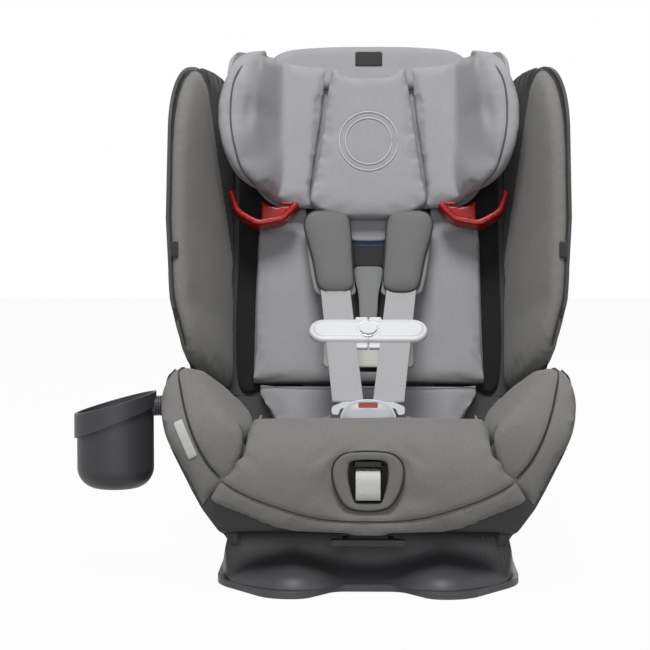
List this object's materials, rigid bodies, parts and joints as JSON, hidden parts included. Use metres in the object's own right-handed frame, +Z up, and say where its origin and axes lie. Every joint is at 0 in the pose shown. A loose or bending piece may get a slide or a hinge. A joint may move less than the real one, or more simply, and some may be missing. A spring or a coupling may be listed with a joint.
{
  "type": "convertible car seat",
  "caption": "Child's convertible car seat with a reclining padded shell, height-adjustable headrest, five-point harness and side cup holder.",
  "frame": {"origin": "on the floor, under the middle of the base", "axes": "-Y towards the front of the seat, +Z up, cup holder on the -X side"},
  "size_m": [0.6014, 0.5138, 0.645],
  "materials": {
    "cover_fabric": "woven",
    "liner_fabric": "soft knit",
    "foam": "black mesh over foam",
    "shell_plastic": "fine grain",
    "base_plastic": "fine grain",
    "trim_plastic": "fine grain",
    "red_plastic": "polished",
    "clip_plastic": "satin",
    "webbing": "woven",
    "pad_fabric": "woven",
    "tag_fabric": "satin",
    "steel": "brushed",
    "rubber": "matt"
  },
  "bodies": {
    "base": {"base_shell": "base_plastic", "base_plate": "base_plastic", "foot_pads": "rubber", "base_screws": "steel", "recline_track_left": "shell_plastic", "recline_track_right": "shell_plastic", "recline_rack": "steel"},
    "seat": {"seat_shell": "shell_plastic", "back_shell": "shell_plastic", "rear_cover": "base_plastic", "back_screws": "steel", "headrest_guide_rods": "steel", "seat_cushion": "cover_fabric", "bolster_cover_left": "cover_fabric", "bolster_cover_right": "cover_fabric", "wing_foam_left": "foam", "wing_foam_right": "foam", "wing_cover_left": "cover_fabric", "wing_cover_right": "cover_fabric", "back_liner": "liner_fabric", "seat_liner": "liner_fabric", "cover_tags": "tag_fabric", "harness_splitter_plate": "steel", "shoulder_strap_left": "webbing", "shoulder_strap_right": "webbing", "lap_strap_left": "webbing", "lap_strap_right": "webbing", "crotch_strap": "webbing", "crotch_strap_anchor": "steel", "buckle_body": "trim_plastic", "adjuster_housing": "shell_plastic", "adjuster_bezel": "trim_plastic", "adjuster_strap": "webbing", "cup_bracket": "shell_plastic"},
    "recline_handle": {"recline_handle": "shell_plastic"},
    "recline_latch": {"recline_latch": "steel"},
    "cup_holder": {"cup_holder": "trim_plastic", "cup_ring": "shell_plastic"},
    "headrest": {"headrest_shell": "shell_plastic", "headrest_carrier": "shell_plastic", "headrest_centre_pad": "liner_fabric", "headrest_side_pad_left": "liner_fabric", "headrest_side_pad_right": "liner_fabric", "headrest_rear_cover": "liner_fabric", "headrest_flap": "liner_fabric", "harness_tag": "tag_fabric", "belt_guide_left": "red_plastic", "belt_guide_right": "red_plastic", "shoulder_pad_left": "pad_fabric", "shoulder_pad_right": "pad_fabric"},
    "headrest_handle": {"headrest_handle": "trim_plastic"},
    "headrest_lock_pin_left": {"headrest_lock_pin_left": "steel"},
    "headrest_lock_pin_right": {"headrest_lock_pin_right": "steel"},
    "chest_clip": {"chest_clip_left": "clip_plastic", "chest_clip_right": "clip_plastic"},
    "chest_clip_button": {"chest_clip_button": "clip_plastic"},
    "buckle_button": {"buckle_button": "red_plastic"},
    "buckle_tongue_left": {"buckle_tongue_left": "clip_plastic"},
    "buckle_tongue_right": {"buckle_tongue_right": "clip_plastic"},
    "adjuster_lever": {"adjuster_lever": "trim_plastic"}
  },
  "joints": [
    {"name": "recline", "type": "hinge", "parent": "base", "child": "seat", "pos_m": [0, -0.03, 0.402], "axis": [-1, 0, 0], "range_deg": [0, 20]},
    {"name": "recline_handle_pull", "type": "slide", "parent": "seat", "child": "recline_handle", "axis": [0, -1, 0], "range_m": [0, 0.012], "stiffness_N_per_m": 900, "springref_m": -0.003},
    {"name": "recline_latch_lift", "type": "slide", "parent": "seat", "child": "recline_latch", "axis": [0, 0, 1], "range_m": [0, 0.0071]},
    {"name": "cup_holder_swivel", "type": "hinge", "parent": "seat", "child": "cup_holder", "pos_m": [-0.24, -0.09, 0.204], "axis": [1, 0, 0], "range_deg": [-20, 20]},
    {"name": "headrest_height", "type": "slide", "parent": "seat", "child": "headrest", "axis": [0, 0.2756, 0.9613], "range_m": [-0.015, 0.15], "deforming": ["shoulder_strap_left", "shoulder_strap_right"]},
    {"name": "headrest_handle_squeeze", "type": "slide", "parent": "headrest", "child": "headrest_handle", "axis": [0, 0.2756, 0.9613], "range_m": [0, 0.008], "stiffness_N_per_m": 800, "springref_m": -0.002},
    {"name": "headrest_lock_left", "type": "slide", "parent": "headrest", "child": "headrest_lock_pin_left", "axis": [1, 0, 0], "range_m": [0, 0.0051]},
    {"name": "headrest_lock_right", "type": "slide", "parent": "headrest", "child": "headrest_lock_pin_right", "axis": [-1, 0, 0], "range_m": [0, 0.0051]},
    {"name": "chest_clip_slide", "type": "slide", "parent": "seat", "child": "chest_clip", "axis": [0, 0.7604, 0.6494], "range_m": [-0.045, 0.005]},
    {"name": "chest_clip_button_press", "type": "slide", "parent": "chest_clip", "child": "chest_clip_button", "axis": [0, 0.6494, -0.7604], "range_m": [0, 0.002], "stiffness_N_per_m": 1200, "springref_m": -0.001},
    {"name": "buckle_button_press", "type": "slide", "parent": "seat", "child": "buckle_button", "axis": [0, 0.9781, -0.2079], "range_m": [0, 0.004], "stiffness_N_per_m": 1500, "springref_m": -0.001},
    {"name": "buckle_tongue_left_release", "type": "slide", "parent": "seat", "child": "buckle_tongue_left", "axis": [0, 0.2079, 0.9781], "range_m": [0, 0.026]},
    {"name": "buckle_tongue_right_release", "type": "slide", "parent": "seat", "child": "buckle_tongue_right", "axis": [0, 0.2079, 0.9781], "range_m": [0, 0.026]},
    {"name": "adjuster_lever_press", "type": "hinge", "parent": "seat", "child": "adjuster_lever", "pos_m": [0, -0.19, 0.1495], "axis": [1, 0, 0], "range_deg": [0, 12], "stiffness_Nm_per_rad": 0.6, "springref_deg": -2.86}
  ],
  "couplings": [
    {"joint": "recline_latch_lift", "follows": "recline_handle_pull", "ratio": 0.58333},
    {"joint": "headrest_lock_left", "follows": "headrest_handle_squeeze", "ratio": 0.625},
    {"joint": "headrest_lock_right", "follows": "headrest_handle_squeeze", "ratio": 0.625}
  ]
}
